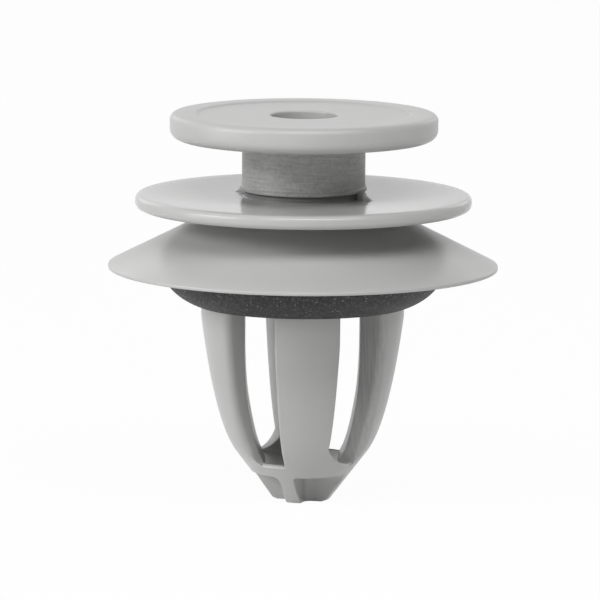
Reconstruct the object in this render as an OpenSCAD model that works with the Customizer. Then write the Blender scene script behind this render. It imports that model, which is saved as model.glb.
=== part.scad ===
// Push-in moulding clip: a one-piece plastic stud with a button head, a flange, an umbrella skirt and a
// bowed cage with a ribbed tip, and a soft sealing ring round its collar.
// The axis is Z. The ring's underside, which lies on the panel, is at z = 0, with the head above it.
// The front is -Y, and a turn is counted from the front towards +X.

/* [Head] */
// Diameter of the button head
head_d = 13.05; // [11:0.05:15]
// Thickness of the button head at its rim
head_t = 1.25; // [1:0.05:1.6]
// Rounding of the head's upper edge
head_top_round = 0.3; // [0.1:0.05:0.4]
// Rounding of the head's lower edge
head_under_round = 0.5; // [0.2:0.05:0.55]
// Width of the raised rim round the head's top face
rim_w = 1.25; // [0.6:0.05:2]
// Depth of the top face inside its rim
dish_depth = 0.08; // [0.04:0.02:0.2]
// Diameter of the core hole in the head
core_d = 3.27; // [2.5:0.01:3.8]
// Depth of the core hole
core_depth = 5.5; // [4:0.1:6.2]

/* [Neck] */
// Diameter of the neck between head and flange
neck_d = 6; // [5.4:0.05:6.8]
// Clear height between flange and head, where the trim's keyhole slides in
neck_h = 2.7; // [2.2:0.05:3.4]
// How far the moulding bead stands out of the neck
bead_out = 0.07; // [0.04:0.01:0.12]
// Height of the moulding bead
bead_h = 0.2; // [0.1:0.02:0.3]
// Height of the undercut below the bead
undercut_h = 0.34; // [0.2:0.02:0.5]
// Depth of the undercut below the bead
undercut_in = 0.1; // [0.05:0.01:0.15]
// Reach of the two gussets on the mould's parting line
gusset_out = 0.95; // [0.5:0.05:1.3]
// Height of the two gussets
gusset_h = 0.7; // [0.5:0.05:0.9]
// Thickness of the two gussets
gusset_t = 0.3; // [0.2:0.02:0.5]
// Turn of the parting line
parting_turn = 62; // [40:1:80]

/* [Flange] */
// Diameter of the flange
flange_d = 16.4; // [14.5:0.05:18]
// Thickness of the flange at its rim
flange_t = 0.67; // [0.5:0.01:1]
// Rounding of the flange's rim
flange_round = 0.26; // [0.1:0.02:0.3]
// Height of the flange's underside over the panel
flange_z = 4.69; // [4.5:0.01:5]
// How much lower the flange's top lies at the neck
flange_dish = 0.1; // [0.04:0.02:0.16]

/* [Skirt] */
// Diameter of the umbrella skirt at its rim
skirt_d = 19; // [17.5:0.05:20.5]
// Angle of the skirt to the panel
skirt_angle = 26.9; // [24:0.1:29]
// Wall of the skirt at its root
skirt_root_t = 0.5; // [0.4:0.02:0.6]
// Wall of the skirt at its rim
skirt_rim_t = 0.16; // [0.12:0.02:0.3]
// Diameter at which the skirt springs from the flange
hub_d = 8; // [7:0.1:9]

/* [Sealing ring] */
// Wall of the ring where it is thickest
ring_wall = 1.8; // [1.4:0.05:2.2]
// Width of the ring's flat underside
ring_foot_w = 0.3; // [0.15:0.05:0.6]
// Width of the flat seat under the skirt, on which the ring's top lies
seat_w = 1.02; // [0.8:0.02:1.3]
// Height of the ring's bevelled and rounded lower edge
ring_round_h = 1.3; // [0.8:0.05:1.5]
// Width of the bevel, from the flat underside outwards
ring_bevel_w = 1.15; // [0.8:0.05:1.3]
// Height at which the bevel would meet the ring's side
ring_bevel_h = 0.45; // [0.3:0.05:0.6]
// Clearance between the ring's bore and the collar
ring_clear = 0.05; // [0.03:0.01:0.08]
// Clearance between the ring's sloping top and the skirt
ring_slope_gap = 0.12; // [0.06:0.02:0.2]

/* [Cage] */
// Diameter of the cage at its shoulder
barrel_d = 9.9; // [9.5:0.05:10.1]
// Depth of the shoulder, where the legs start to taper
shoulder_depth = 0.6; // [0.2:0.05:1.2]
// Slope of the legs at the shoulder
shoulder_slope = 7.4; // [4:0.1:9]
// Depth at which the legs have bent into the cone
bend_depth = 7.26; // [6.9:0.02:7.5]
// Turn of the two narrow legs out of the middle between the wide ones
narrow_turn = 3.1; // [-6:0.1:6]
// Width of the narrow legs above, where their sides are parallel
narrow_w = 3.14; // [2.8:0.02:3.4]
// Angle from the middle of a narrow leg to its sides below, where they run to the axis
narrow_angle = 19.5; // [17:0.1:22]
// Width of the wide legs above
wide_w = 5.3; // [5:0.05:5.6]
// Angle from the middle of a wide leg to its sides below
wide_angle = 41.5; // [38:0.1:44]
// Height of the openings' top end over the panel, behind the ring
opening_top = 1; // [0.6:0.05:1.6]
// Depth of the openings' floor
opening_floor = 7.62; // [7.4:0.02:7.9]
// Radius of the floor's bow up to the narrow leg on its left
narrow_foot_r = 1.8; // [1.2:0.05:2.4]
// How high that bow rises at the narrow leg
narrow_foot_h = 0.87; // [0.4:0.01:1.1]
// Radius of the floor's bow up to the wide leg on its left
wide_foot_r = 0.4; // [0.3:0.05:0.8]
// How high that bow rises at the wide leg
wide_foot_h = 0.32; // [0.2:0.01:0.5]
// Distance of the legs' inner faces from the axis
leg_inner = 2.8; // [2.6:0.05:3]
// Thickness of the legs below, where they bend in
leg_t = 1.62; // [1.4:0.02:1.8]

/* [Tip] */
// Depth of the tip
tip_depth = 9.72; // [9.2:0.02:10.2]
// Diameter of the tip's end
tip_d = 2.7; // [2.2:0.02:3]
// Half angle of the cone
cone_angle = 37.2; // [35:0.1:39]
// Rounding of the tip's lower edge
tip_round = 0.3; // [0.1:0.02:0.5]
// Depth of the top of the pockets between the ribs
pocket_top = 8.27; // [8.2:0.01:8.6]
// Thickness of the cross ribs
rib_t = 0.7; // [0.5:0.02:0.9]
// Turn of the cross ribs
rib_turn = -18; // [-40:1:40]
// Rounding of a pocket's top on its right side
pocket_round = 0.45; // [0.2:0.05:0.6]
// Rounding of a pocket's top on its left side
pocket_small_round = 0.14; // [0.06:0.02:0.3]

/* [Hidden] */
$fn = 96;
body_grey = [0.62, 0.62, 0.61];
ring_black = [0.16, 0.16, 0.16];

// Radii
head_r = head_d / 2;
core_r = core_d / 2;
neck_r = neck_d / 2;
flange_r = flange_d / 2;
skirt_r = skirt_d / 2;
hub_r = hub_d / 2;
barrel_r = barrel_d / 2;
tip_r = tip_d / 2;

// Heights
flange_top = flange_z + flange_t;
neck_foot = flange_top - flange_dish;
head_under = flange_top + neck_h;
head_top = head_under + head_t;

// The skirt's upper and lower surfaces as straight lines of the radius
skirt_slope = tan(skirt_angle);
rim_top_z = flange_z - (skirt_r - hub_r) * skirt_slope;
root_under_z = flange_z - skirt_root_t / cos(skirt_angle);
rim_under_z = rim_top_z - skirt_rim_t / cos(skirt_angle);
under_slope = (root_under_z - rim_under_z) / (skirt_r - hub_r);
function skirt_under(r) = root_under_z - (r - hub_r) * under_slope;
// The ring's flat seat runs out into the skirt, which sets the ring's height
seat_r = barrel_r + seat_w;
ring_h = skirt_under(seat_r);

// The cage's outline: a shoulder, a bowed leg and a straight cone
cone_slope = tan(cone_angle);
function cone_r(depth) = tip_r + (tip_depth - depth) * cone_slope;
bend_r = cone_r(bend_depth);
leg_slope = tan(shoulder_slope);
// Where the lines of the shoulder and the cone cross
cross_depth = (bend_r - barrel_r + cone_slope * bend_depth - leg_slope * shoulder_depth)
    / (cone_slope - leg_slope);
cross_r = barrel_r - (cross_depth - shoulder_depth) * leg_slope;
bow_steps = 12;
function bow(t) = [
    (1 - t) * (1 - t) * barrel_r + 2 * t * (1 - t) * cross_r + t * t * bend_r,
    -((1 - t) * (1 - t) * shoulder_depth + 2 * t * (1 - t) * cross_depth + t * t * bend_depth)
];
bow_outline = [for (i = [0 : bow_steps]) bow(i / bow_steps)];

// Points of an arc about a centre
function arc(cx, cy, r, from, to, steps = 6) =
    [for (i = [0 : steps]) [
        cx + r * cos(from + (to - from) * i / steps),
        cy + r * sin(from + (to - from) * i / steps)]];

// Lengths that reach past the body, for the cutters
reach = 12;
over = 0.5;

// Section of the button head, with its rim and its shallow dish
module head_section() {
    rim_in = head_r - rim_w;
    polygon(concat(
        [[0, head_under - over]],
        [[neck_r - over, head_under - over], [neck_r, head_under]],
        arc(head_r - head_under_round, head_under + head_under_round, head_under_round, -90, 0),
        arc(head_r - head_top_round, head_top - head_top_round, head_top_round, 0, 90),
        [[rim_in, head_top], [rim_in - 2 * dish_depth, head_top - dish_depth], [0, head_top - dish_depth]]
    ));
}

// Section of the neck, with the bead and the undercut that its side cores leave at its foot
module neck_section() {
    bead_z = neck_foot + undercut_h;
    polygon([
        [0, flange_z + over / 2],
        [neck_r - undercut_in, flange_z + over / 2],
        [neck_r - undercut_in, bead_z - undercut_in],
        [neck_r + bead_out, bead_z],
        [neck_r + bead_out, bead_z + bead_h - bead_out],
        [neck_r, bead_z + bead_h],
        [neck_r, head_under + head_t / 2],
        [0, head_under + head_t / 2]
    ]);
}

// Section of the flange, dished a little towards the neck
module flange_section() {
    polygon(concat(
        [[0, flange_z]],
        arc(flange_r - flange_round, flange_z + flange_round, flange_round, -90, 0),
        arc(flange_r - flange_round, flange_top - flange_round, flange_round, 0, 90),
        [[neck_r, neck_foot], [0, neck_foot]]
    ));
}

// Section of the umbrella skirt, with the flat seat of the ring under it
module skirt_section() {
    rim_round = skirt_rim_t / 2;
    cx = skirt_r - rim_round;
    cz = (rim_top_z + rim_under_z) / 2 + rim_round * skirt_slope;
    polygon(concat(
        [[0, flange_z + flange_t / 2], [hub_r, flange_z + flange_t / 2], [hub_r, flange_z]],
        arc(cx, cz, rim_round, 90 - skirt_angle, -90 - skirt_angle, 8),
        [[seat_r, ring_h], [0, ring_h]]
    ));
}

// Section of the collar, the cage's envelope and the cone
module barrel_section() {
    edge_r = cone_r(tip_depth - tip_round * (1 - sin(cone_angle)));
    polygon(concat(
        [[0, ring_h + over], [barrel_r, ring_h + over]],
        bow_outline,
        arc(edge_r - tip_round * cos(cone_angle), tip_round - tip_depth, tip_round, -cone_angle, -90),
        [[0, -tip_depth]]
    ));
}

// A point turned about the axis
function turned(p, a) = [p[0] * cos(a) - p[1] * sin(a), p[0] * sin(a) + p[1] * cos(a)];

// Plan of the opening between the front leg, turned to the right, and the leg on its right
module opening_plan(turn) {
    polygon([
        [0, 0],
        turned([narrow_w / 2, -narrow_w / 2 / tan(narrow_angle)], turn),
        turned([narrow_w / 2, -reach], turn),
        [reach, -reach],
        [reach, -wide_w / 2],
        [wide_w / 2 / tan(wide_angle), -wide_w / 2]
    ]);
}

// Side view of an opening, whose floor bows up to the leg on its left, seen along that leg's side
module opening_side(wall_turn, foot_r, foot_h) {
    sweep = acos((foot_r - foot_h) / foot_r);
    rotate([0, 0, wall_turn])
        rotate([90, 0, 0])
            linear_extrude(height = reach)
                polygon(concat(
                    [[-over, opening_top]],
                    [[-over * cos(sweep), foot_h - opening_floor + over * sin(sweep)]],
                    arc(foot_r * sin(sweep), foot_r - opening_floor, foot_r, 270 - 0.96 * sweep, 270, 8),
                    [[reach, -opening_floor], [reach, opening_top]]
                ));
}

// The two openings beside the front leg
module opening_pair() {
    height = opening_top + opening_floor;
    intersection() {
        translate([0, 0, -opening_floor])
            linear_extrude(height = height) opening_plan(narrow_turn);
        opening_side(narrow_angle + narrow_turn, narrow_foot_r, narrow_foot_h);
    }
    intersection() {
        translate([0, 0, -opening_floor])
            linear_extrude(height = height)
                mirror([1, 0]) opening_plan(-narrow_turn);
        opening_side(wide_angle - 90, wide_foot_r, wide_foot_h);
    }
}

// Half outline of the hollow inside the cage: straight above, and bowed like the legs below
function hollow_side() = concat(
    [[leg_inner, opening_top]],
    [for (p = bow_outline) if (p[1] > -opening_floor) [min(leg_inner, p[0] - leg_t), p[1]]],
    [[cone_r(opening_floor) - leg_t, -opening_floor]]
);

// The hollow inside the cage as one prism, across the front
module hollow_prism() {
    side = hollow_side();
    last = len(side) - 1;
    mirrored = [for (i = [0 : last]) [-side[last - i][0], side[last - i][1]]];
    rotate([90, 0, 0])
        linear_extrude(height = 2 * reach, center = true)
            polygon(concat(side, mirrored));
}

// Everything that the mould's slides take out of the cage
module cage_openings() {
    for (half = [0, 180])
        rotate([0, 0, half]) opening_pair();
    intersection() {
        hollow_prism();
        rotate([0, 0, 90]) hollow_prism();
    }
}

// One pocket between two cross ribs, open below and outwards
module pocket() {
    low = -tip_depth - over;
    intersection() {
        rotate([90, 0, 90])
            linear_extrude(height = reach)
                polygon(concat(
                    [[-rib_t / 2, low]],
                    arc(-rib_t / 2 - pocket_round, -pocket_top - pocket_round, pocket_round, 0, 90),
                    [[-reach, -pocket_top], [-reach, low]]
                ));
        rotate([90, 0, 0])
            linear_extrude(height = reach)
                polygon(concat(
                    [[rib_t / 2, low], [reach, low], [reach, -pocket_top]],
                    arc(rib_t / 2 + pocket_small_round, -pocket_top - pocket_small_round,
                        pocket_small_round, 90, 180)
                ));
    }
}

// Thin fin left in the corner of neck and flange by the joint of the side cores
module gusset() {
    inner = neck_r - undercut_in - over;
    rotate([90, 0, 0])
        linear_extrude(height = gusset_t, center = true)
            polygon(concat(
                [[inner, neck_foot - flange_dish], [neck_r + gusset_out, neck_foot - flange_dish]],
                arc(neck_r + gusset_out, neck_foot + gusset_h, gusset_h, 270, 210, 5),
                [[neck_r, neck_foot + gusset_h], [inner, neck_foot + gusset_h]]
            ));
}

module clip_body() {
    color(body_grey)
        difference() {
            union() {
                rotate_extrude() head_section();
                rotate_extrude() neck_section();
                rotate_extrude() flange_section();
                rotate_extrude() skirt_section();
                rotate_extrude() barrel_section();
                for (half = [0, 180])
                    rotate([0, 0, half + parting_turn - 90]) gusset();
            }
            translate([0, 0, head_top - core_depth])
                cylinder(r = core_r, h = core_depth + over);
            cage_openings();
            for (quarter = [0 : 3])
                rotate([0, 0, rib_turn + 90 * quarter]) pocket();
        }
}

module sealing_ring() {
    bore_r = barrel_r + ring_clear;
    ring_r = bore_r + ring_wall;
    foot_r = bore_r + ring_foot_w;
    round_steps = 8;
    lower_edge = [for (i = [0 : round_steps]) let (t = i / round_steps) [
        (1 - t) * (1 - t) * foot_r + 2 * t * (1 - t) * (foot_r + ring_bevel_w) + t * t * ring_r,
        2 * t * (1 - t) * ring_bevel_h + t * t * ring_round_h]];
    color(ring_black)
        rotate_extrude()
            polygon(concat(
                [[bore_r, 0]],
                lower_edge,
                [[ring_r, skirt_under(ring_r) - ring_slope_gap]],
                [[seat_r - ring_slope_gap / under_slope, ring_h], [bore_r, ring_h]]
            ));
}

clip_body();
sealing_ring();
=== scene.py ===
"""Looks of a push-in moulding clip: its grey plastic body and its dark sealing ring.

Lengths are in metres in the properties and in millimetres in the mesh code. The clip's axis is Z,
the sealing ring's underside is at z = 0 and the front is -Y. Turns count from the front to +X.
"""

import math
from collections import namedtuple

import bmesh
import bpy
import numpy as np
from bpy.props import FloatProperty, FloatVectorProperty, IntProperty, PointerProperty
from mathutils import Matrix, Vector


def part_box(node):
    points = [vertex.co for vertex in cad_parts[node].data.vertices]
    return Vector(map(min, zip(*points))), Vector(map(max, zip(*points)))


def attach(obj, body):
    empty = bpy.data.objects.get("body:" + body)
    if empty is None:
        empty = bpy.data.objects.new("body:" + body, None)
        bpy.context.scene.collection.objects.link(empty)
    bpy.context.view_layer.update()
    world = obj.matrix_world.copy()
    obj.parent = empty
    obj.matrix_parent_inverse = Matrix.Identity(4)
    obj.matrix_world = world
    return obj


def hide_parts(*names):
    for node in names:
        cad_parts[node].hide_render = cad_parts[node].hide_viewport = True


bl_info = {
    "name": "Moulding Clip",
    "version": (1, 0, 0),
    "blender": (4, 5, 0),
    "location": "View3D > Sidebar > Clip",
    "description": "Builds the finished body, sealing ring and studio of a push-in moulding clip",
    "category": "Add Mesh",
}

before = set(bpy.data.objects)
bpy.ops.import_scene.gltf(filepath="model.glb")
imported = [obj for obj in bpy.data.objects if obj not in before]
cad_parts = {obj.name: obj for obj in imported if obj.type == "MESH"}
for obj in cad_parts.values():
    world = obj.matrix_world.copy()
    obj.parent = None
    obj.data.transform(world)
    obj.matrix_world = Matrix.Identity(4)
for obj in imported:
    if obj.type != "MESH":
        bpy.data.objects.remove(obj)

MM = 1000.0
BODY_LOW, BODY_HIGH = (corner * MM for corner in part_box("clip_body"))
RING_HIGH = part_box("sealing_ring")[1] * MM

# Fineness of the meshes
BODY_STEP, RING_STEP = 0.6, 0.12  # longest stretch of the turned outlines, in millimetres
RING_SIDES = 256
NOSE_SIDES = 384
LEG_LEVELS, LEG_FOOT_LEVELS = 46, 24
LEG_FACE_POINTS, LEG_EDGE_POINTS, LEG_CORNER_POINTS = 18, 7, 4
LIP_POINTS = 5
DISH_SHARES = (0.15, 0.3, 0.45, 0.6, 0.7, 0.8, 0.9, 0.96)  # rings of the floor, in its radius

# How far the joined solids reach into each other, so that no faces coincide, in millimetres
COLLAR_INSET, COLLAR_SUNK = 0.03, 0.3
FLOOR_SUNK, DISH_SUNK = 0.13, 0.1

# Small roundings of the cage, in millimetres
INNER_BEND = 0.5  # where a leg's inner face starts to follow its outer one
HOLLOW_EDGE = 0.2  # the legs' inner edges
FLOOR_EDGE = 0.04  # the legs' outer edges at the floor, from where they grow
POCKET_EDGE = 0.1  # the pockets' outer edges

# Angles of a leg's sides to its middle: the left one also at the floor, and what both lose
LegSides = namedtuple("LegSides", "right left left_low narrowing")


def length(name, default_mm, description):
    """A property that holds a length, given here in millimetres."""
    return FloatProperty(name=name, description=description, default=default_mm / MM,
                         min=0.0, unit="LENGTH", precision=5)


def turn(name, default_degrees, description):
    """A property that holds an angle, given here in degrees."""
    return FloatProperty(name=name, description=description, subtype="ANGLE",
                         default=math.radians(default_degrees))


def number(name, default, description):
    """A property that holds a number without a unit of length or angle."""
    return FloatProperty(name=name, description=description, default=default, min=0.0, precision=4)


def colour(name, value, description):
    """A property that holds a linear colour."""
    return FloatVectorProperty(name=name, description=description, subtype="COLOR", size=3,
                               default=value, min=0.0, max=1.0)


class HeadSizes(bpy.types.PropertyGroup):
    """Button head, neck and flange."""

    head_d: length("Head", 13.05, "Diameter of the button head")
    head_t: length("Head thickness", 1.25, "Thickness of the button head at its rim")
    rim_w: length("Rim", 1.25, "Width of the raised rim on the head's top")
    dish: length("Dish", 0.08, "Depth of the head's top inside its rim")
    core_d: length("Core hole", 3.27, "Diameter of the hole in the head")
    core_depth: length("Core depth", 5.5, "Depth of the hole in the head")
    neck_d: length("Neck", 6.0, "Diameter of the neck")
    neck_h: length("Neck height", 2.7, "Clear height between flange and head")
    bead_out: length("Bead", 0.07, "How far the moulding bead stands out of the neck")
    bead_h: length("Bead height", 0.2, "Height of the moulding bead")
    undercut_h: length("Undercut height", 0.34, "Height of the undercut below the bead")
    undercut_in: length("Undercut depth", 0.1, "Depth of the undercut below the bead")
    flange_d: length("Flange", 16.4, "Diameter of the flange")
    flange_t: length("Flange thickness", 0.67, "Thickness of the flange at its rim")
    flange_dish: length("Flange dish", 0.1, "How much lower the flange's top lies at the neck")
    gusset_out: length("Gusset reach", 0.95, "Reach of the two gussets at the neck's foot")
    gusset_h: length("Gusset height", 0.7, "Height of the two gussets")
    gusset_t: length("Gusset thickness", 0.3, "Thickness of the two gussets")
    parting_turn: turn("Parting line", 62, "Turn of the gussets, on the side cores' joint")


class SkirtSizes(bpy.types.PropertyGroup):
    """Umbrella skirt and sealing ring."""

    angle: turn("Skirt angle", 26.9, "Angle of the skirt to the panel")
    root_t: length("Skirt root", 0.5, "Wall of the skirt at its root")
    rim_t: length("Skirt rim", 0.16, "Wall of the skirt at its rim")
    hub_d: length("Hub", 8.0, "Diameter at which the skirt springs from the flange")
    seat_w: length("Seat", 1.02, "Width of the ring's flat seat under the skirt")
    ring_clear: length("Ring clearance", 0.05, "Clearance between the ring's bore and the collar")
    ring_foot_w: length("Ring foot", 0.3, "Width of the ring's flat underside")
    ring_round_h: length("Ring rounding", 1.3, "Height of the ring's bevelled, round lower edge")
    ring_bevel_w: length("Ring bevel", 1.15, "Width of the bevel, from the flat underside outwards")
    ring_bevel_h: length("Ring bevel height", 0.45, "Height at which the bevel would meet the side")
    ring_gap: length("Ring gap", 0.12, "Clearance between the ring's sloping top and the skirt")


class CageSizes(bpy.types.PropertyGroup):
    """Bowed cage and ribbed tip."""

    barrel_d: length("Shoulder", 9.9, "Diameter of the cage at its shoulder")
    shoulder: length("Shoulder depth", 0.6, "Depth at which the legs start to taper")
    shoulder_slope: turn("Shoulder slope", 7.4, "Slope of the legs at the shoulder")
    bend: length("Bend depth", 7.26, "Depth at which the legs have bent into the cone")
    narrow_turn: turn("Narrow leg turn", 3.1, "Turn of the narrow legs out of the middle")
    narrow_w: length("Narrow leg", 3.14, "Width of the narrow legs above, with parallel sides")
    narrow_angle: turn("Narrow leg angle", 19.5, "Half angle of the narrow legs below")
    narrow_edge: length("Narrow leg edge", 0.14, "Rounding of the narrow legs' outer edges")
    narrow_foot_r: length("Narrow leg bow", 1.8, "Radius of the floor's bow up to the narrow leg")
    narrow_foot_h: length("Narrow leg bow height", 0.87, "Height of that bow at the narrow leg")
    wide_angle: turn("Wide leg, right side", 43, "Angle from a wide leg's middle to its right side")
    wide_left: turn("Wide leg, left side", 37, "Angle from a wide leg's middle to its left side")
    wide_left_low: turn("Wide leg, left foot", 32, "That angle at the floor, before the narrowing")
    wide_narrowing: turn("Wide leg narrowing", 4, "What both angles lose by the thinning depth")
    wide_edge: length("Wide leg edge", 0.36, "Rounding of the wide legs' outer edges")
    wide_foot_r: length("Wide leg bow", 0.4, "Radius of the floor's bow up to the wide leg")
    wide_foot_h: length("Wide leg bow height", 0.32, "Height of that bow at the wide leg")
    opening_top: length("Opening top", 1.0, "Height of the openings' top end, behind the ring")
    floor: length("Opening floor", 7.62, "Depth of the openings' floor")
    inner: length("Hollow", 2.8, "Distance of the legs' inner faces from the axis")
    leg_t: length("Leg thickness", 1.5, "Thickness of the legs where they bend in")
    leg_foot_t: length("Leg thickness below", 1.1, "Thickness of the legs at the openings' floor")
    leg_thin: length("Thinning depth", 5.0, "Depth from which the legs get thinner")
    lip: length("Lip", 0.15, "Rounding of the floors' outer edge")
    floor_dish: length("Floor dish", 0.3, "How much deeper the floors are at the axis")
    tip_d: length("Tip", 2.7, "Diameter of the tip's end")
    cone: turn("Cone", 37.2, "Half angle of the cone")
    tip_round: length("Tip rounding", 0.3, "Rounding of the tip's lower edge")
    pocket: length("Pocket top", 8.27, "Depth of the top of the pockets between the ribs")
    rib_t: length("Rib", 0.7, "Thickness of the cross ribs")
    rib_turn: turn("Rib turn", -18, "Turn of the cross ribs")
    pocket_right: length("Pocket rounding", 0.45, "Rounding of a pocket's top on its right")
    pocket_left: length("Small pocket rounding", 0.14, "Rounding of a pocket's top on its left")
    pocket_corner: length("Pocket corner", 0.7, "Reach of the rounding between two ribs")


class FinishSettings(bpy.types.PropertyGroup):
    """Colours of the finishes and fineness of the meshes."""

    plastic: colour("Plastic", (0.46, 0.46, 0.455), "Colour of the body's plastic")
    plastic_dark: colour("Plastic, shade", (0.445, 0.445, 0.44), "Colour of the body's dark clouds")
    # Colour of the neck's pits and lines, which also serve as painted shade that darkens the neck
    # under the head, and of the drag lines on two leg sides
    rough_plastic_and_shade: colour("Rough plastic", (0.3, 0.3, 0.297), "Colour of the pits and drag lines")
    # Painted shade: this dark colour stands in for the shadow in the undercut under the neck's bead
    undercut: colour("Undercut", (0.16, 0.16, 0.158), "Colour of the undercut at the neck's foot")
    rubber: colour("Rubber", (0.01, 0.01, 0.01), "Colour of the sealing ring")
    rubber_grain: colour("Rubber, grain", (0.048, 0.048, 0.048), "Colour of the ring's grain")
    rubber_speck: colour("Rubber, specks", (0.22, 0.22, 0.22), "Colour of the ring's pale specks")
    sides: IntProperty(name="Sides", description="Faces round the body", default=192, min=24)


class StageSettings(bpy.types.PropertyGroup):
    """Camera and light."""

    distance: length("Distance", 300.0, "Distance of the camera from the clip")
    elevation: turn("Elevation", 8.6, "Height of the camera over the clip's middle")
    roll: turn("Roll", 0.45, "Lean of the clip to the right in the picture")
    scale: number("Picture scale", 20.5, "Pixels of the picture for each millimetre at the axis")
    centre_right: length("Centre right", 0.13, "How far right of the picture's middle the axis is")
    centre_up: length("Centre up", 0.133, "Height of the picture's middle over the ring's foot")
    front: number("Front", 1.7, "Watts of the wide box high in front")
    left: number("Left", 1.05, "Watts of the box on the left")
    card: number("Card", 0.009, "Watts of the small card low on the left")
    back: number("Back", 0.1, "Watts of each of the two boxes behind")
    ambient: number("Ambient", 0.16, "Strength of the even light")


def sizes(name):
    """The properties of one group, with lengths in millimetres and angles in radians."""
    group = getattr(bpy.context.scene, name)
    found = {}
    for key, prop in group.bl_rna.properties.items():
        if key in ("rna_type", "name"):
            continue
        value = getattr(group, key)
        found[key] = value * MM if getattr(prop, "unit", "NONE") == "LENGTH" else value
    return type("Sizes", (), found)


# Outlines

def arc_between(start, corner, end, radius, steps):
    """Points of the arc that rounds a corner of an outline, from one side to the other."""
    a, b, c = (np.array(p, float) for p in (start, corner, end))
    to_a, to_c = (a - b), (c - b)
    len_a, len_c = np.linalg.norm(to_a), np.linalg.norm(to_c)
    to_a, to_c = to_a / len_a, to_c / len_c
    half = math.acos(float(np.clip(to_a @ to_c, -1, 1))) / 2
    straight = half > math.radians(89.5)
    if radius <= 0 or straight:
        return [tuple(b)] * (steps + 1)
    # An arc takes less than half of each side, so that two neighbours fit
    cut = min(radius / math.tan(half), 0.49 * len_a, 0.49 * len_c)
    radius = cut * math.tan(half)
    centre = b + (to_a + to_c) / np.linalg.norm(to_a + to_c) * radius / math.sin(half)
    first = b + to_a * cut - centre
    last = b + to_c * cut - centre
    sweep = math.pi - 2 * half
    points = []
    for i in range(steps + 1):
        t = i / steps
        w0, w1 = math.sin((1 - t) * sweep) / math.sin(sweep), math.sin(t * sweep) / math.sin(sweep)
        points.append(tuple(centre + first * w0 + last * w1))
    return points


def rounded(corners, steps=5):
    """An open outline from (radius, height, rounding) corners; the ends stay sharp."""
    points = [corners[0][:2]]
    for before, here, after in zip(corners, corners[1:], corners[2:]):
        if here[2] > 0:
            points += arc_between(before[:2], here[:2], after[:2], here[2], steps)
        else:
            points.append(here[:2])
    return points + [corners[-1][:2]]


def subdivided(points, step):
    """The outline with no stretch longer than step."""
    fine = [points[0]]
    for a, b in zip(points, points[1:]):
        pieces = max(1, math.ceil(math.dist(a, b) / step))
        fine += [(a[0] + (b[0] - a[0]) * i / pieces, a[1] + (b[1] - a[1]) * i / pieces)
                 for i in range(1, pieces + 1)]
    return fine


class Outline:
    """The cage's envelope, and the skirt's two lines, worked out from the sizes."""

    def __init__(self):
        self.h, self.s, self.c = sizes("clip_head"), sizes("clip_skirt"), sizes("clip_cage")
        c, s, h = self.c, self.s, self.h
        self.tip_z = BODY_LOW.z
        self.top_z = BODY_HIGH.z
        self.skirt_r = BODY_HIGH.x
        self.head_under = self.top_z - h.head_t
        self.flange_top = self.head_under - h.neck_h
        self.flange_z = self.flange_top - h.flange_t
        self.cone_slope = math.tan(c.cone)
        self.bend_r = self.cone_r(-c.bend)
        leg_slope = math.tan(c.shoulder_slope)
        self.barrel_r = c.barrel_d / 2
        # Depth and radius at which the shoulder's line meets the cone's: the bow's control point
        self.cross = (self.bend_r - self.barrel_r + self.cone_slope * c.bend
                      - leg_slope * c.shoulder) / (self.cone_slope - leg_slope)
        self.cross_r = self.barrel_r - (self.cross - c.shoulder) * leg_slope
        slope = math.tan(s.angle)
        hub_r = s.hub_d / 2
        self.rim_z = self.flange_z - (self.skirt_r - hub_r) * slope
        self.root_under = self.flange_z - s.root_t / math.cos(s.angle)
        self.rim_under = self.rim_z - s.rim_t / math.cos(s.angle)
        self.under_slope = (self.root_under - self.rim_under) / (self.skirt_r - hub_r)
        self.seat_r = self.barrel_r + s.seat_w
        self.ring_h = self.skirt_under(self.seat_r)

    def cone_r(self, z):
        """Radius of the cone at a height."""
        return self.c.tip_d / 2 + (z - self.tip_z) * self.cone_slope

    def skirt_under(self, r):
        """Height of the skirt's underside at a radius."""
        return self.root_under - (r - self.s.hub_d / 2) * self.under_slope

    def radius(self, z):
        """Outer radius of the cage at a height: straight shoulder, bowed leg, straight cone.

        The bow is a quadratic curve: its parameter at a height solves k2 t^2 + k1 t + k0 = 0.
        """
        c = self.c
        if z >= -c.shoulder:
            return self.barrel_r
        if z <= -c.bend:
            return self.cone_r(z)
        k2 = c.shoulder - 2 * self.cross + c.bend
        k1 = 2 * (self.cross - c.shoulder)
        k0 = c.shoulder + z
        root = math.sqrt(k1 * k1 - 4 * k2 * k0)
        t = (-k1 + root) / (2 * k2) if abs(k2) > 1e-9 else -k0 / k1
        return ((1 - t) ** 2 * self.barrel_r + 2 * t * (1 - t) * self.cross_r + t * t * self.bend_r)


# Meshes

def mesh_object(name, verts, edges, faces):
    """A new mesh object, linked to the scene."""
    mesh = bpy.data.meshes.new(name)
    mesh.from_pydata([tuple(v) for v in verts], edges, faces)
    mesh.update()
    obj = bpy.data.objects.new(name, mesh)
    bpy.context.scene.collection.objects.link(obj)
    return obj


def loft(name, rows):
    """A closed solid through rows of equally many points, with a pole in each end row's middle."""
    count = len(rows[0])
    verts = [p for row in rows for p in row]
    faces = []
    for j in range(len(rows) - 1):
        for i in range(count):
            k = (i + 1) % count
            faces.append((j * count + i, j * count + k, (j + 1) * count + k, (j + 1) * count + i))
    for row, flip in ((0, True), (len(rows) - 1, False)):
        pole = len(verts)
        verts.append(tuple(np.mean(np.array(rows[row]), axis=0)))
        for i in range(count):
            k = (i + 1) % count
            pair = (row * count + i, row * count + k)
            faces.append((pair[1], pair[0], pole) if flip else (pair[0], pair[1], pole))
    return mesh_object(name, verts, [], faces)


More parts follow.
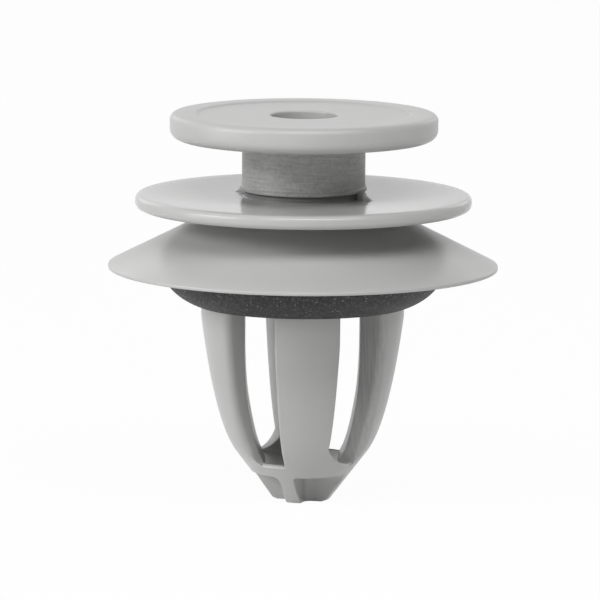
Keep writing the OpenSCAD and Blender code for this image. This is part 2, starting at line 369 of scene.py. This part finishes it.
def bake(obj):
    """Turns the evaluated object into a plain mesh and drops its modifiers."""
    graph = bpy.context.evaluated_depsgraph_get()
    mesh = bpy.data.meshes.new_from_object(obj.evaluated_get(graph))
    obj.modifiers.clear()
    obj.data = mesh
    return obj


def add_tree(name, inputs):
    """An empty geometry node tree with named inputs; returns it and its two end nodes."""
    tree = bpy.data.node_groups.new(name, "GeometryNodeTree")
    tree.interface.new_socket("Geometry", in_out="INPUT", socket_type="NodeSocketGeometry")
    for label, kind in inputs:
        tree.interface.new_socket(label, in_out="INPUT", socket_type=kind)
    tree.interface.new_socket("Geometry", in_out="OUTPUT", socket_type="NodeSocketGeometry")
    return tree, tree.nodes.new("NodeGroupInput"), tree.nodes.new("NodeGroupOutput")


def math_node(tree, operation, a, b=None):
    """A math node on sockets or numbers; returns its result."""
    made = tree.nodes.new("ShaderNodeMath")
    made.operation = operation
    for i, value in enumerate((a, b)):
        if isinstance(value, bpy.types.NodeSocket):
            tree.links.new(value, made.inputs[i])
        elif value is not None:
            made.inputs[i].default_value = value
    return made.outputs[0]


def lathe_tree():
    """Turns an outline, drawn as a row of points in XZ, about the Z axis into a closed mesh."""
    tree, start, end = add_tree("turn_outline", (("Sides", "NodeSocketInt"),
                                                 ("Material", "NodeSocketMaterial")))
    outline, sides = start.outputs["Geometry"], start.outputs["Sides"]
    size = tree.nodes.new("GeometryNodeAttributeDomainSize")
    tree.links.new(outline, size.inputs[0])
    rows = size.outputs["Point Count"]
    grid = tree.nodes.new("GeometryNodeMeshGrid")
    tree.links.new(math_node(tree, "ADD", sides, 1), grid.inputs["Vertices X"])
    tree.links.new(rows, grid.inputs["Vertices Y"])
    index = tree.nodes.new("GeometryNodeInputIndex").outputs[0]
    column = math_node(tree, "FLOOR", math_node(tree, "DIVIDE", index, rows))
    row = math_node(tree, "SUBTRACT", index, math_node(tree, "MULTIPLY", column, rows))
    sample = tree.nodes.new("GeometryNodeSampleIndex")
    sample.data_type = "FLOAT_VECTOR"
    place = tree.nodes.new("GeometryNodeInputPosition")
    tree.links.new(outline, sample.inputs["Geometry"])
    tree.links.new(place.outputs[0], sample.inputs["Value"])
    tree.links.new(row, sample.inputs["Index"])
    split = tree.nodes.new("ShaderNodeSeparateXYZ")
    tree.links.new(sample.outputs[0], split.inputs[0])
    step = math_node(tree, "DIVIDE", 2 * math.pi, sides)
    wrapped = math_node(tree, "MODULO", column, sides)
    angle = math_node(tree, "MULTIPLY", wrapped, step)
    join = tree.nodes.new("ShaderNodeCombineXYZ")
    tree.links.new(math_node(tree, "MULTIPLY", split.outputs[0], math_node(tree, "COSINE", angle)),
                   join.inputs[0])
    tree.links.new(math_node(tree, "MULTIPLY", split.outputs[0], math_node(tree, "SINE", angle)),
                   join.inputs[1])
    tree.links.new(split.outputs[2], join.inputs[2])
    put = tree.nodes.new("GeometryNodeSetPosition")
    tree.links.new(grid.outputs["Mesh"], put.inputs["Geometry"])
    tree.links.new(join.outputs[0], put.inputs["Position"])
    merge = tree.nodes.new("GeometryNodeMergeByDistance")
    merge.inputs["Distance"].default_value = 1e-5
    tree.links.new(put.outputs[0], merge.inputs["Geometry"])
    finish_tree(tree, start, end, merge.outputs[0])
    return tree


def ring_tree():
    """Repeats a piece, modelled at the front, in equal turns about the Z axis."""
    tree, start, end = add_tree("repeat_round_axis", (("Count", "NodeSocketInt"),
                                                      ("Turn", "NodeSocketFloat"),
                                                      ("Material", "NodeSocketMaterial")))
    count = start.outputs["Count"]
    line = tree.nodes.new("GeometryNodeMeshLine")
    tree.links.new(count, line.inputs["Count"])
    line.inputs["Offset"].default_value = (0, 0, 0)
    index = tree.nodes.new("GeometryNodeInputIndex").outputs[0]
    step = math_node(tree, "DIVIDE", 2 * math.pi, count)
    angle = math_node(tree, "ADD", math_node(tree, "MULTIPLY", index, step), start.outputs["Turn"])
    join = tree.nodes.new("ShaderNodeCombineXYZ")
    tree.links.new(angle, join.inputs[2])
    spread = tree.nodes.new("GeometryNodeInstanceOnPoints")
    tree.links.new(line.outputs[0], spread.inputs["Points"])
    tree.links.new(start.outputs["Geometry"], spread.inputs["Instance"])
    tree.links.new(join.outputs[0], spread.inputs["Rotation"])
    finish_tree(tree, start, end, spread.outputs[0])
    return tree


def finish_tree(tree, start, end, geometry):
    """Ends a tree in Realize Instances and Set Material."""
    real = tree.nodes.new("GeometryNodeRealizeInstances")
    dress = tree.nodes.new("GeometryNodeSetMaterial")
    tree.links.new(geometry, real.inputs[0])
    tree.links.new(real.outputs[0], dress.inputs["Geometry"])
    tree.links.new(start.outputs["Material"], dress.inputs["Material"])
    tree.links.new(dress.outputs[0], end.inputs[0])


def run_tree(obj, tree, **values):
    """Adds the tree as a modifier, sets its inputs by their identifiers and bakes it."""
    modifier = obj.modifiers.new(tree.name, "NODES")
    modifier.node_group = tree
    for item in tree.interface.items_tree:
        if item.in_out == "INPUT" and item.name in values:
            modifier[item.identifier] = values[item.name]
    return bake(obj)


def turned(name, outline, sides, material):
    """The solid of revolution of an outline, made by the lathe tree."""
    obj = mesh_object(name, [(r, 0.0, z) for r, z in outline],
                      [(i, i + 1) for i in range(len(outline) - 1)], [])
    run_tree(obj, lathe_tree(), Sides=sides, Material=material)
    return point_outwards(obj)


def point_outwards(obj):
    """Turns the faces outwards if the closed mesh's volume says that they point in."""
    work = bmesh.new()
    work.from_mesh(obj.data)
    bmesh.ops.recalc_face_normals(work, faces=work.faces)
    if work.calc_volume(signed=True) < 0:
        bmesh.ops.reverse_faces(work, faces=work.faces)
    work.to_mesh(obj.data)
    work.free()
    return obj


def unite(obj, others):
    """Joins closed solids into one, and removes the added ones."""
    for other in others:
        modifier = obj.modifiers.new("join_" + other.name, "BOOLEAN")
        modifier.operation = "UNION"
        modifier.solver = "MANIFOLD"
        modifier.object = other
    bake(obj)
    for other in others:
        bpy.data.objects.remove(other)
    return obj


def settle(obj, body, node, sharp=32):
    """Scales a finished piece to metres, shades it and puts it on its body in place of its node."""
    obj.data.transform(Matrix.Scale(1 / MM, 4))
    obj.data.polygons.foreach_set("use_smooth", [True] * len(obj.data.polygons))
    obj.data.set_sharp_from_angle(angle=math.radians(sharp))
    obj.data.update()
    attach(obj, body)
    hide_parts(node)
    return obj


# Body

def upper_outline(o):
    """Head with its core hole, neck, flange, skirt and collar, as one (radius, height) outline."""
    h, s = o.h, o.s
    core_r, neck_r = h.core_d / 2, h.neck_d / 2
    head_r, flange_r, hub_r = h.head_d / 2, h.flange_d / 2, s.hub_d / 2
    face = o.top_z - h.dish
    rim_in = head_r - h.rim_w
    foot = o.flange_top - h.flange_dish
    bead = foot + h.undercut_h
    corners = [
        (0, o.top_z - h.core_depth, 0),
        (core_r, o.top_z - h.core_depth, 0.15),
        (core_r, face, 0.09),
        (rim_in - 2 * h.dish, face, 0.3),
        (rim_in, o.top_z, 0.3),
        (head_r, o.top_z, 0.3),
        (head_r, o.head_under, 0.5),
        (neck_r, o.head_under, 0.12),
        (neck_r, bead + h.bead_h, 0.06),
        (neck_r + h.bead_out, bead + h.bead_h - h.bead_out, 0.04),
        (neck_r + h.bead_out, bead, 0.03),
        (neck_r - h.undercut_in, bead - h.undercut_in, 0.06),
        (neck_r - h.undercut_in, foot, 0.08),
        (flange_r, o.flange_top, 0.26),
        (flange_r, o.flange_z, 0.26),
        (hub_r, o.flange_z, 0.15),
        (o.skirt_r, o.rim_z, s.rim_t * 0.55),
        (o.skirt_r, o.rim_under, s.rim_t * 0.3),
        (o.seat_r, o.ring_h, 0),
        (o.barrel_r, o.ring_h, 0.05),
        (o.barrel_r, o.c.opening_top, 0),
        (0, o.c.opening_top, 0),
    ]
    return subdivided(rounded(corners), BODY_STEP)


def soft_min(a, b, blend):
    """The smaller of two numbers, with a round passage between them."""
    mix = max(blend - abs(a - b), 0.0) / blend
    return min(a, b) - mix * mix * blend / 4


def foot_flare(z, floor, radius, height=None):
    """How far a floor's bow, of a radius and of a height at the wall, stands out of the wall."""
    height = radius if height is None else height
    over = z - floor
    if over >= height:
        return 0.0
    reach = math.sqrt(max(0.0, radius ** 2 - (radius - height) ** 2))
    return reach - math.sqrt(max(0.0, radius ** 2 - (radius - max(over, 0.0)) ** 2))


def spoke(angle, reach=1.0):
    """The point in a direction, at a reach from the middle."""
    return reach * np.array((math.cos(angle), math.sin(angle)))


def leg_side(outer, inner, width, angle, edge, flare):
    """The right side of a leg's section, from its outer face in to the hollow.

    Points are (outwards, sideways). The side is parallel to the leg's middle above and runs to the
    axis below, whichever is narrower, and a floor's bow pushes it out by the flare. Returns the
    points and the turn at which the outer face ends.
    """
    toward = spoke(angle)
    normal = np.array((-toward[1], toward[0]))
    deep = flare - edge
    along = math.sqrt((outer - edge) ** 2 - deep ** 2)
    knee = (width / 2 - edge - deep * toward[0]) / toward[1]
    if flare > 0 or along <= knee:
        outer_centre = inner_centre = toward * along + normal * deep
    else:
        inner_centre = toward * knee + normal * deep
        half = width / 2 - edge
        outer_centre = np.array((math.sqrt((outer - edge) ** 2 - half ** 2), half))
    face_turn = math.atan2(outer_centre[1], outer_centre[0])
    points = [outer_centre + spoke(t, edge)
              for t in np.linspace(face_turn, math.pi / 2, LEG_EDGE_POINTS)]
    points += [inner_centre + spoke(t, edge)
               for t in np.linspace(math.pi / 2, math.pi / 2 + angle, LEG_CORNER_POINTS)]
    corner = np.array((inner, inner * math.tan(angle) + flare / toward[0]))
    points += [points[-1] + (corner - points[-1]) * share for share in (0.25, 0.5, 0.75)]
    return points + [corner], face_turn


def leg_section(o, z, width, sides, edge, foot):
    """Points of a leg's section at a height, as (outwards, sideways) pairs in one turn.

    The floor bows up to the leg's right side, seen from outside; the left side runs straight down.
    """
    c = o.c
    in_collar = z > c.opening_top * 0.9
    outer = o.radius(z) - (COLLAR_INSET if in_collar else 0.0)
    low = min(1.0, max(0.0, (-z - c.leg_thin) / (c.floor - c.leg_thin))) ** 2
    inner = soft_min(c.inner, outer - c.leg_t + (c.leg_t - c.leg_foot_t) * low, INNER_BEND)
    flare = foot_flare(z, -c.floor, *foot)
    edge = min(edge, FLOOR_EDGE + 0.5 * max(0.0, z + c.floor))
    narrowing = sides.narrowing * min(1.0, max(0.0, -z / c.leg_thin))
    left_angle = sides.left + (sides.left_low - sides.left) * low - narrowing
    right, right_turn = leg_side(outer, inner, width, sides.right - narrowing, edge, flare)
    left, left_turn = leg_side(outer, inner, width, left_angle, edge, 0.0)
    left = [p * np.array((1, -1)) for p in left]
    face = [spoke(t, outer) for t in np.linspace(-left_turn, right_turn, LEG_FACE_POINTS)[1:-1]]
    right_in = arc_between(right[-2], right[-1], left[-1], HOLLOW_EDGE, LEG_CORNER_POINTS)
    left_in = arc_between(right[-1], left[-1], left[-2], HOLLOW_EDGE, LEG_CORNER_POINTS)
    return [tuple(p) for p in right_in + left_in + left[-2::-1] + face + right[:-1]]


def leg(o, name, width, sides, edge, foot):
    """One leg of the cage, pointing to the front, from inside the collar down into the cone."""
    c = o.c
    low = -c.floor
    rise = foot[1] + 0.25
    levels = list(np.linspace(c.opening_top + COLLAR_SUNK, low + rise, LEG_LEVELS))
    levels += list(low + rise * (1 - np.linspace(0, 1, LEG_FOOT_LEVELS)[1:]) ** 1.5)
    levels += [low - FLOOR_SUNK, low - c.floor_dish - DISH_SUNK]
    rows = []
    for z in levels:
        section = leg_section(o, max(z, low), width, sides, edge, foot)
        grow = o.radius(z) / o.radius(max(z, low))
        rows.append([(side * grow, -out * grow, z) for out, side in section])
    return point_outwards(loft(name, rows))


def nose_radius(o, z, angle):
    """Radius of the cone and its cross ribs at a height, at an angle from a rib to the right."""
    c = o.c
    envelope = o.cone_r(z)
    round_top = o.tip_z + c.tip_round * (1 - math.sin(c.cone))
    over = round_top - z
    if over > 0:
        edge = o.cone_r(round_top) - c.tip_round * math.cos(c.cone)
        drop = min(1.0, math.sin(c.cone) + over / c.tip_round)
        envelope = edge + c.tip_round * math.sqrt(max(0.0, 1 - drop * drop))
    below = -c.pocket - z
    if below <= 0:
        return envelope
    quarter = angle % (math.pi / 2)
    left = c.rib_t / 2 + foot_flare(below, 0.0, c.pocket_left)
    right = c.rib_t / 2 + foot_flare(below, 0.0, c.pocket_right)
    left_wall = left / max(math.sin(quarter), 1e-4)
    right_wall = right / max(math.cos(quarter), 1e-4)
    return soft_min(envelope, -soft_min(-left_wall, -right_wall, c.pocket_corner), POCKET_EDGE)


def nose(o):
    """The cone under the cage, dished where the openings end, with four pockets between ribs."""
    c = o.c
    lip = c.lip
    rim = o.cone_r(-c.floor)
    rows = []
    for share in DISH_SHARES:
        z = -c.floor - c.floor_dish * (1 - share * share)
        rows.append([((rim - lip) * share, z)] * NOSE_SIDES)
    for t in np.linspace(0, math.pi / 2, LIP_POINTS):
        rows.append([((o.cone_r(-c.floor - lip) - lip) + lip * math.sin(t),
                      -c.floor - lip * (1 - math.cos(t)))] * NOSE_SIDES)
    heights = list(np.linspace(-c.floor - lip, -c.pocket, 6)[1:])
    heights += [-c.pocket - 0.0005]
    heights += list((o.tip_z + c.pocket) * np.linspace(0, 1, 34)[1:] ** 1.7 - c.pocket)
    turns = [2 * math.pi * i / NOSE_SIDES for i in range(NOSE_SIDES)]
    for z in heights:
        rows.append([(nose_radius(o, z, -t), z) for t in turns])
    last = rows[-1]
    for share in (0.75, 0.5, 0.25):
        rows.append([(r * share, z) for r, z in last])
    solid = [[(r * math.sin(c.rib_turn - t), -r * math.cos(c.rib_turn - t), z)
              for (r, z), t in zip(row, turns)] for row in rows]
    return point_outwards(loft("nose", solid))


def gusset(o):
    """One thin fin in the corner of neck and flange, at the front, with narrowed faces."""
    h = o.h
    neck_r = h.neck_d / 2
    foot = o.flange_top - h.flange_dish
    inner = neck_r - h.undercut_in - 0.4
    sunk = foot - 0.15
    centre_r, centre_z = neck_r + h.gusset_out, foot + h.gusset_h
    curve = [(centre_r + h.gusset_h * math.cos(t), centre_z + h.gusset_h * math.sin(t))
             for t in np.radians(np.linspace(268, 205, 8))]
    outline = [(inner, sunk), (centre_r, sunk)] + curve + [(inner, curve[-1][1] + 0.05)]
    half = h.gusset_t / 2
    rows = []
    for share, shrink in ((-1, 0.05), (-0.8, 0.0), (0.8, 0.0), (1, 0.05)):
        rows.append([(half * share, -(r - (shrink if r > neck_r else 0.0)),
                      z - (shrink if z > foot else 0.0)) for r, z in outline])
    return point_outwards(loft("gusset", rows))


class CLIP_OT_body(bpy.types.Operator):
    """Build the plastic body: head, neck, flange, skirt, cage and tip in one piece"""

    bl_idname = "clip.body"
    bl_label = "Clip Body"

    def execute(self, context):
        o = Outline()
        c = o.c
        plastic = plastic_finish()
        sides = context.scene.clip_finish.sides
        body = turned("clip_body_finish", upper_outline(o), sides, plastic)
        narrow_sides = LegSides(c.narrow_angle, c.narrow_angle, c.narrow_angle, 0.0)
        wide_sides = LegSides(c.wide_angle, c.wide_left, c.wide_left_low, c.wide_narrowing)
        narrow = leg(o, "narrow_leg", c.narrow_w, narrow_sides, c.narrow_edge,
                     (c.narrow_foot_r, c.narrow_foot_h))
        wide = leg(o, "wide_leg", c.barrel_d, wide_sides, c.wide_edge,
                   (c.wide_foot_r, c.wide_foot_h))
        fins = gusset(o)
        tree = ring_tree()
        run_tree(narrow, tree, Count=2, Turn=c.narrow_turn, Material=plastic)
        run_tree(wide, tree, Count=2, Turn=math.pi / 2, Material=plastic)
        run_tree(fins, tree, Count=2, Turn=o.h.parting_turn, Material=plastic)
        cone = nose(o)
        cone.data.materials.append(plastic)
        unite(body, [narrow, wide, cone, fins])
        settle(body, "root", "clip_body")
        return {"FINISHED"}


# Sealing ring

class CLIP_OT_ring(bpy.types.Operator):
    """Build the soft sealing ring under the skirt"""

    bl_idname = "clip.ring"
    bl_label = "Sealing Ring"

    def execute(self, context):
        o = Outline()
        s = o.s
        bore = o.barrel_r + s.ring_clear
        outer = RING_HIGH.x
        foot = bore + s.ring_foot_w
        lower = [((1 - t) ** 2 * foot + 2 * t * (1 - t) * (foot + s.ring_bevel_w) + t * t * outer,
                  2 * t * (1 - t) * s.ring_bevel_h + t * t * s.ring_round_h)
                 for t in np.linspace(0, 1, 15)]
        shoulder = o.skirt_under(outer) - s.ring_gap
        outline = [(bore, 0.0)] + lower
        outline += rounded([(outer, s.ring_round_h, 0), (outer, shoulder, 0.35),
                            (o.seat_r - s.ring_gap / o.under_slope, o.ring_h, 0)])[1:]
        outline += [(bore, o.ring_h), (bore, 0.0)]
        outline = subdivided(outline, RING_STEP)
        ring = turned("sealing_ring_finish", outline, RING_SIDES, rubber_finish())
        settle(ring, "root", "sealing_ring", sharp=50)
        return {"FINISHED"}


# Finishes

class Nodes:
    """Short calls to add and link shader nodes."""

    def __init__(self, name):
        self.material = bpy.data.materials.new(name)
        self.material.use_nodes = True
        self.tree = self.material.node_tree
        self.shader = self.tree.nodes["Principled BSDF"]
        self.place = self.tree.nodes.new("ShaderNodeTexCoord").outputs["Object"]

    def link(self, value, socket):
        """Feeds a socket from another one, or sets it to a value."""
        if isinstance(value, bpy.types.NodeSocket):
            self.tree.links.new(value, socket)
        else:
            socket.default_value = value

    def stretch(self, scale):
        """The place with its three coordinates scaled, so that a pattern grows along them."""
        made = self.tree.nodes.new("ShaderNodeMapping")
        self.link(self.place, made.inputs["Vector"])
        made.inputs["Scale"].default_value = scale
        return made.outputs[0]

    def noise(self, size_mm, place=None, detail=4.0, rough=0.55):
        """Noise with grains of about a size, at the Object coordinates or at a stretched place."""
        made = self.tree.nodes.new("ShaderNodeTexNoise")
        self.link(self.place if place is None else place, made.inputs["Vector"])
        made.inputs["Scale"].default_value = MM / size_mm
        made.inputs["Detail"].default_value = detail
        made.inputs["Roughness"].default_value = rough
        return made.outputs[0]

    def ramp(self, value, low, high):
        """0 below low and 1 above high, or the other way round where low is the larger one."""
        made = self.tree.nodes.new("ShaderNodeMapRange")
        made.interpolation_type = "SMOOTHSTEP"
        self.link(value, made.inputs["Value"])
        made.inputs["From Min"].default_value = low
        made.inputs["From Max"].default_value = high
        return made.outputs[0]

    def math(self, operation, a, b=None):
        """A math node's result, on sockets or numbers."""
        return math_node(self.tree, operation, a, b)

    def band(self, value, rise, fall):
        """1 between two soft edges, which rise and fall over the given pairs of millimetres."""
        return self.times(self.ramp(value, rise[0] / MM, rise[1] / MM),
                          self.ramp(value, fall[1] / MM, fall[0] / MM))

    def times(self, first, *others):
        """The product of several values."""
        for other in others:
            first = self.math("MULTIPLY", first, other)
        return first

    def mix(self, share, a, b):
        """A colour between two, by the share of the second."""
        made = self.tree.nodes.new("ShaderNodeMix")
        made.data_type = "RGBA"
        self.link(share, made.inputs["Factor"])
        self.link(a, made.inputs["A"])
        self.link(b, made.inputs["B"])
        return made.outputs["Result"]

    def bump(self, height, depth_mm, strength, normal=None):
        """A normal bent by a height, on top of another normal."""
        made = self.tree.nodes.new("ShaderNodeBump")
        self.link(height, made.inputs["Height"])
        made.inputs["Distance"].default_value = depth_mm / MM
        made.inputs["Strength"].default_value = strength
        if normal is not None:
            self.link(normal, made.inputs["Normal"])
        return made.outputs[0]


def rgba(values):
    """An opaque colour from three values."""
    return (*values, 1.0)


def plastic_finish():
    """Semi-gloss grey acetal, with a polished flange, a rough neck whose pits and lines also darken
    it as painted shade, painted shade in the undercut at the neck's foot, and drag lines on two leg
    sides.

    The bands are where each finish starts and ends, in millimetres along the axis or out from it.
    """
    finish = bpy.context.scene.clip_finish
    wall = bpy.context.scene.clip_cage.wide_angle
    n = Nodes("grey_acetal")
    split = n.tree.nodes.new("ShaderNodeSeparateXYZ")
    n.link(n.place, split.inputs[0])
    x, y, z = split.outputs
    radius = n.math("SQRT", n.math("ADD", n.times(x, x), n.times(y, y)))
    neck = n.times(n.band(z, (5.25, 5.35), (8.0, 8.1)), n.band(radius, (2.6, 2.7), (3.3, 3.4)))
    # Mask of the painted shade in the undercut under the neck's bead
    undercut = n.times(n.band(z, (5.25, 5.3), (5.55, 5.63)), n.ramp(radius, 3.1 / MM, 3.0 / MM))
    flange = n.band(z, (4.5, 4.6), (5.5, 5.6))
    polish = n.times(flange, n.math("SUBTRACT", 1.0, neck))
    off_wall = n.math("ABSOLUTE", n.math("ADD", n.times(x, math.sin(wall)),
                                         n.times(y, math.cos(wall))))
    drawn = n.times(n.ramp(off_wall, 1.2 / MM, 0.5 / MM), n.band(z, (-7.7, -7.2), (-1.0, 0.0)))
    lines = n.noise(0.11, n.stretch((0.08, 0.08, 1.0)), detail=3.0)
    pits = n.noise(0.16, detail=4.0, rough=0.7)
    drag = n.noise(0.13, n.stretch((1.0, 1.0, 0.01)), detail=3.0)

    cloud = n.ramp(n.noise(3.5, detail=1.0), 0.2, 0.8)
    shade = n.mix(cloud, rgba(finish.plastic), rgba(finish.plastic_dark))
    moulded = n.math("ADD", lines, pits)
    # Painted shade and wear: the neck's pits and lines darken the whole neck, standing in for the
    # head's shadow on it; the drag lines on two leg sides are real marks
    wear_and_painted_shade = n.math("ADD", n.times(neck, n.ramp(moulded, 0.65, 1.35)),
                  n.times(drawn, n.ramp(drag, 0.38, 0.66), 0.6))
    shade = n.mix(wear_and_painted_shade, shade, rgba(finish.rough_plastic_and_shade))
    # The undercut's painted shade goes onto the colour here
    n.link(n.mix(undercut, shade, rgba(finish.undercut)), n.shader.inputs["Base Color"])

    rough = n.math("ADD", n.times(n.noise(0.9), 0.06), 0.29)
    rough = n.math("SUBTRACT", rough, n.times(polish, 0.18))
    n.link(n.math("ADD", rough, n.times(neck, 0.12)), n.shader.inputs["Roughness"])
    wave = n.bump(n.noise(2.2, detail=1.0), 0.012, 0.25)
    grain = n.bump(n.noise(0.12, detail=3.0), 0.006, 0.5, wave)
    rows = n.bump(n.times(moulded, neck), 0.02, 0.8, grain)
    n.link(n.bump(n.times(drag, drawn), 0.02, 0.7, rows), n.shader.inputs["Normal"])
    n.shader.inputs["IOR"].default_value = 1.45
    return n.material


def rubber_finish():
    """Matte black rubber with a fine grain and a few pale specks."""
    finish = bpy.context.scene.clip_finish
    n = Nodes("black_rubber")
    grain = n.noise(0.16, detail=6.0, rough=0.7)
    specks = n.ramp(n.noise(0.11, detail=2.0), 0.64, 0.7)
    shade = n.mix(n.ramp(grain, 0.4, 0.68), rgba(finish.rubber), rgba(finish.rubber_grain))
    n.link(n.mix(specks, shade, rgba(finish.rubber_speck)), n.shader.inputs["Base Color"])
    n.link(n.bump(grain, 0.05, 0.9), n.shader.inputs["Normal"])
    n.shader.inputs["Roughness"].default_value = 0.62
    return n.material


# Stage

PICTURE_WIDTH = 600  # pixels
FLOOR_GLOW = 0.96  # share of plain white in the floor that the camera sees
FLOOR_HALF = 3.0  # metres


def softbox(name, place, target, width, height, watts):
    """An area light at a place, turned to a target; all lengths in millimetres."""
    data = bpy.data.lights.new(name, "AREA")
    data.shape = "RECTANGLE"
    data.size, data.size_y = width / MM, height / MM
    data.energy = watts
    lamp = bpy.data.objects.new(name, data)
    bpy.context.scene.collection.objects.link(lamp)
    lamp.location = Vector(place) / MM
    lamp.rotation_euler = (Vector(target) - Vector(place)).to_track_quat("-Z", "Y").to_euler()
    return lamp


def round_place(azimuth, elevation, distance):
    """A place in millimetres, from degrees to the right of the front, degrees up and a distance."""
    a, e = math.radians(azimuth), math.radians(elevation)
    return (distance * math.sin(a) * math.cos(e), -distance * math.cos(a) * math.cos(e),
            distance * math.sin(e))


def seen_directly(tree):
    """1 for what the camera sees straight, in a mirror or through glass, else 0."""
    path = tree.nodes.new("ShaderNodeLightPath").outputs
    seen = math_node(tree, "MAXIMUM", path["Is Camera Ray"], path["Is Glossy Ray"])
    return math_node(tree, "MAXIMUM", seen, path["Is Transmission Ray"])


def studio_world(ambient):
    """Even white light, and a plain white background."""
    world = bpy.data.worlds.new("studio")
    bpy.context.scene.world = world
    world.use_nodes = True
    tree = world.node_tree
    back = tree.nodes["Background"]
    back.inputs["Color"].default_value = (1, 1, 1, 1)
    level = tree.nodes.new("ShaderNodeMapRange")
    tree.links.new(seen_directly(tree), level.inputs["Value"])
    level.inputs["To Min"].default_value = ambient
    level.inputs["To Max"].default_value = 1.0
    tree.links.new(level.outputs[0], back.inputs["Strength"])


def floor_finish():
    """A plain white floor that keeps a faint shadow: what is seen of it is nearly all glow."""
    material = bpy.data.materials.new("studio_floor")
    material.use_nodes = True
    tree = material.node_tree
    shader = tree.nodes["Principled BSDF"]
    shader.inputs["Base Color"].default_value = (0.9, 0.9, 0.9, 1)
    shader.inputs["Roughness"].default_value = 0.9
    shader.inputs["Specular IOR Level"].default_value = 0.1
    glow = tree.nodes.new("ShaderNodeEmission")
    glow.inputs["Color"].default_value = (1, 1, 1, 1)
    mix = tree.nodes.new("ShaderNodeMixShader")
    tree.links.new(math_node(tree, "MULTIPLY", seen_directly(tree), FLOOR_GLOW), mix.inputs[0])
    tree.links.new(shader.outputs[0], mix.inputs[1])
    tree.links.new(glow.outputs[0], mix.inputs[2])
    tree.links.new(mix.outputs[0], tree.nodes["Material Output"].inputs["Surface"])
    return material


def place_camera(stage):
    """The camera at the picture's viewing angle, at the picture's scale."""
    data = bpy.data.cameras.new("camera")
    camera = bpy.data.objects.new("camera", data)
    scene = bpy.context.scene
    scene.collection.objects.link(camera)
    scene.camera = camera
    data.sensor_width = 36.0
    data.lens = data.sensor_width * stage.distance * stage.scale / PICTURE_WIDTH
    data.clip_start, data.clip_end = 0.01, 20.0
    aim = Vector((-stage.centre_right, 0.0, stage.centre_up)) / MM
    back = Vector((0.0, -math.cos(stage.elevation), math.sin(stage.elevation)))
    camera.location = aim + back * stage.distance / MM
    level = back.to_track_quat("Z", "Y").to_matrix().to_4x4()
    lean = Matrix.Rotation(stage.roll, 4, "Z")
    camera.matrix_world = Matrix.Translation(camera.location) @ level @ lean


class CLIP_OT_stage(bpy.types.Operator):
    """Set up the camera, the pale floor and the soft studio light"""

    bl_idname = "clip.stage"
    bl_label = "Stage"

    def execute(self, context):
        stage = sizes("clip_stage")
        place_camera(stage)
        studio_world(stage.ambient)
        corners = [(x * FLOOR_HALF, y * FLOOR_HALF, BODY_LOW.z / MM)
                   for x, y in ((-1, -1), (1, -1), (1, 1), (-1, 1))]
        floor = mesh_object("floor", corners, [], [(0, 1, 2, 3)])
        floor.data.materials.append(floor_finish())
        middle = (0, 0, 0)
        softbox("front", round_place(9, 53, 500), middle, 480, 190, stage.front)
        softbox("left", round_place(-65, 25, 500), middle, 320, 130, stage.left)
        softbox("card", round_place(-70, 8, 85), (0, 0, 12), 42, 34, stage.card)
        softbox("back_right", round_place(150, 22, 500), middle, 200, 200, stage.back)
        softbox("back_left", round_place(-150, 22, 500), middle, 200, 200, stage.back)
        context.scene.view_settings.view_transform = "Standard"
        return {"FINISHED"}


class CLIP_PT_panel(bpy.types.Panel):
    """Lists the clip's pieces and sizes in the sidebar"""

    bl_label = "Moulding Clip"
    bl_idname = "CLIP_PT_panel"
    bl_space_type = "VIEW_3D"
    bl_region_type = "UI"
    bl_category = "Clip"

    def draw(self, context):
        for operator in (CLIP_OT_body, CLIP_OT_ring, CLIP_OT_stage):
            self.layout.operator(operator.bl_idname)
        for name in GROUPS:
            group = getattr(context.scene, name)
            box = self.layout.box()
            for key in group.bl_rna.properties.keys():
                if key not in ("rna_type", "name"):
                    box.prop(group, key)


GROUPS = {"clip_head": HeadSizes, "clip_skirt": SkirtSizes, "clip_cage": CageSizes,
          "clip_finish": FinishSettings, "clip_stage": StageSettings}
CLASSES = (*GROUPS.values(), CLIP_OT_body, CLIP_OT_ring, CLIP_OT_stage, CLIP_PT_panel)


def register():
    """Add the clip's operators, panel and settings to Blender."""
    for made in CLASSES:
        bpy.utils.register_class(made)
    for name, group in GROUPS.items():
        setattr(bpy.types.Scene, name, PointerProperty(type=group))


def unregister():
    """Take them out of Blender again."""
    for name in GROUPS:
        delattr(bpy.types.Scene, name)
    for made in reversed(CLASSES):
        bpy.utils.unregister_class(made)


def main():
    """Build the clip and its studio."""
    register()
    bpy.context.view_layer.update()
    bpy.ops.clip.stage()
    bpy.ops.clip.body()
    bpy.ops.clip.ring()


if __name__ == "__main__":
    main()
